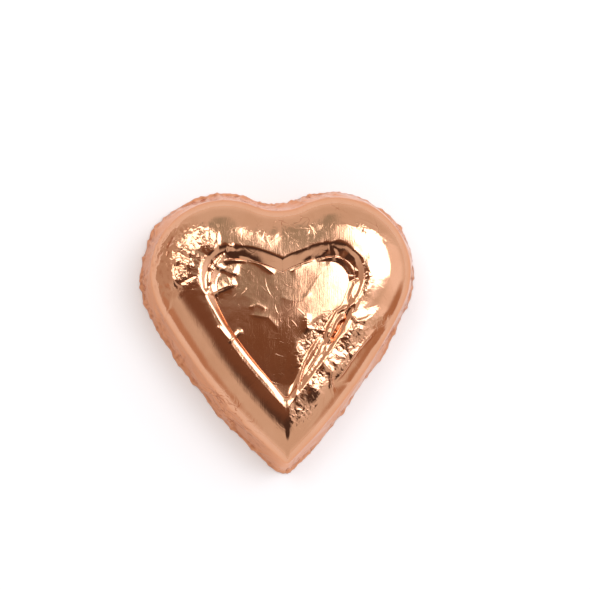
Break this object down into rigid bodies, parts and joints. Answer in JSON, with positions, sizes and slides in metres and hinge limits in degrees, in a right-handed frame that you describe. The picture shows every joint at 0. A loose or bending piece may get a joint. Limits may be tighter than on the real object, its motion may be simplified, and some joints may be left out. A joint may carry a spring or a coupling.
{
  "type": "foil-wrapped chocolate heart",
  "caption": "Moulded chocolate heart with a raised rim and recessed heart panel, wrapped in crinkled rose-gold foil that is folded over on its flat back.",
  "frame": {"origin": "middle of the heart's length and width, on the surface that it lies on", "axes": "+Z out of the moulded face, -Y towards the tip, +Y towards the lobes; the left and right halves mirror in X"},
  "size_m": [0.04, 0.0406, 0.012],
  "materials": {
    "chocolate": "satin milk chocolate",
    "foil": "bright rose-gold lacquered foil, crinkled"
  },
  "bodies": {
    "root": {"chocolate_heart": "chocolate", "foil_front": "foil", "foil_flap_left": "foil", "foil_flap_right": "foil", "foil_flap_top": "foil", "foil_flap_tip": "foil"}
  },
  "joints": []
}
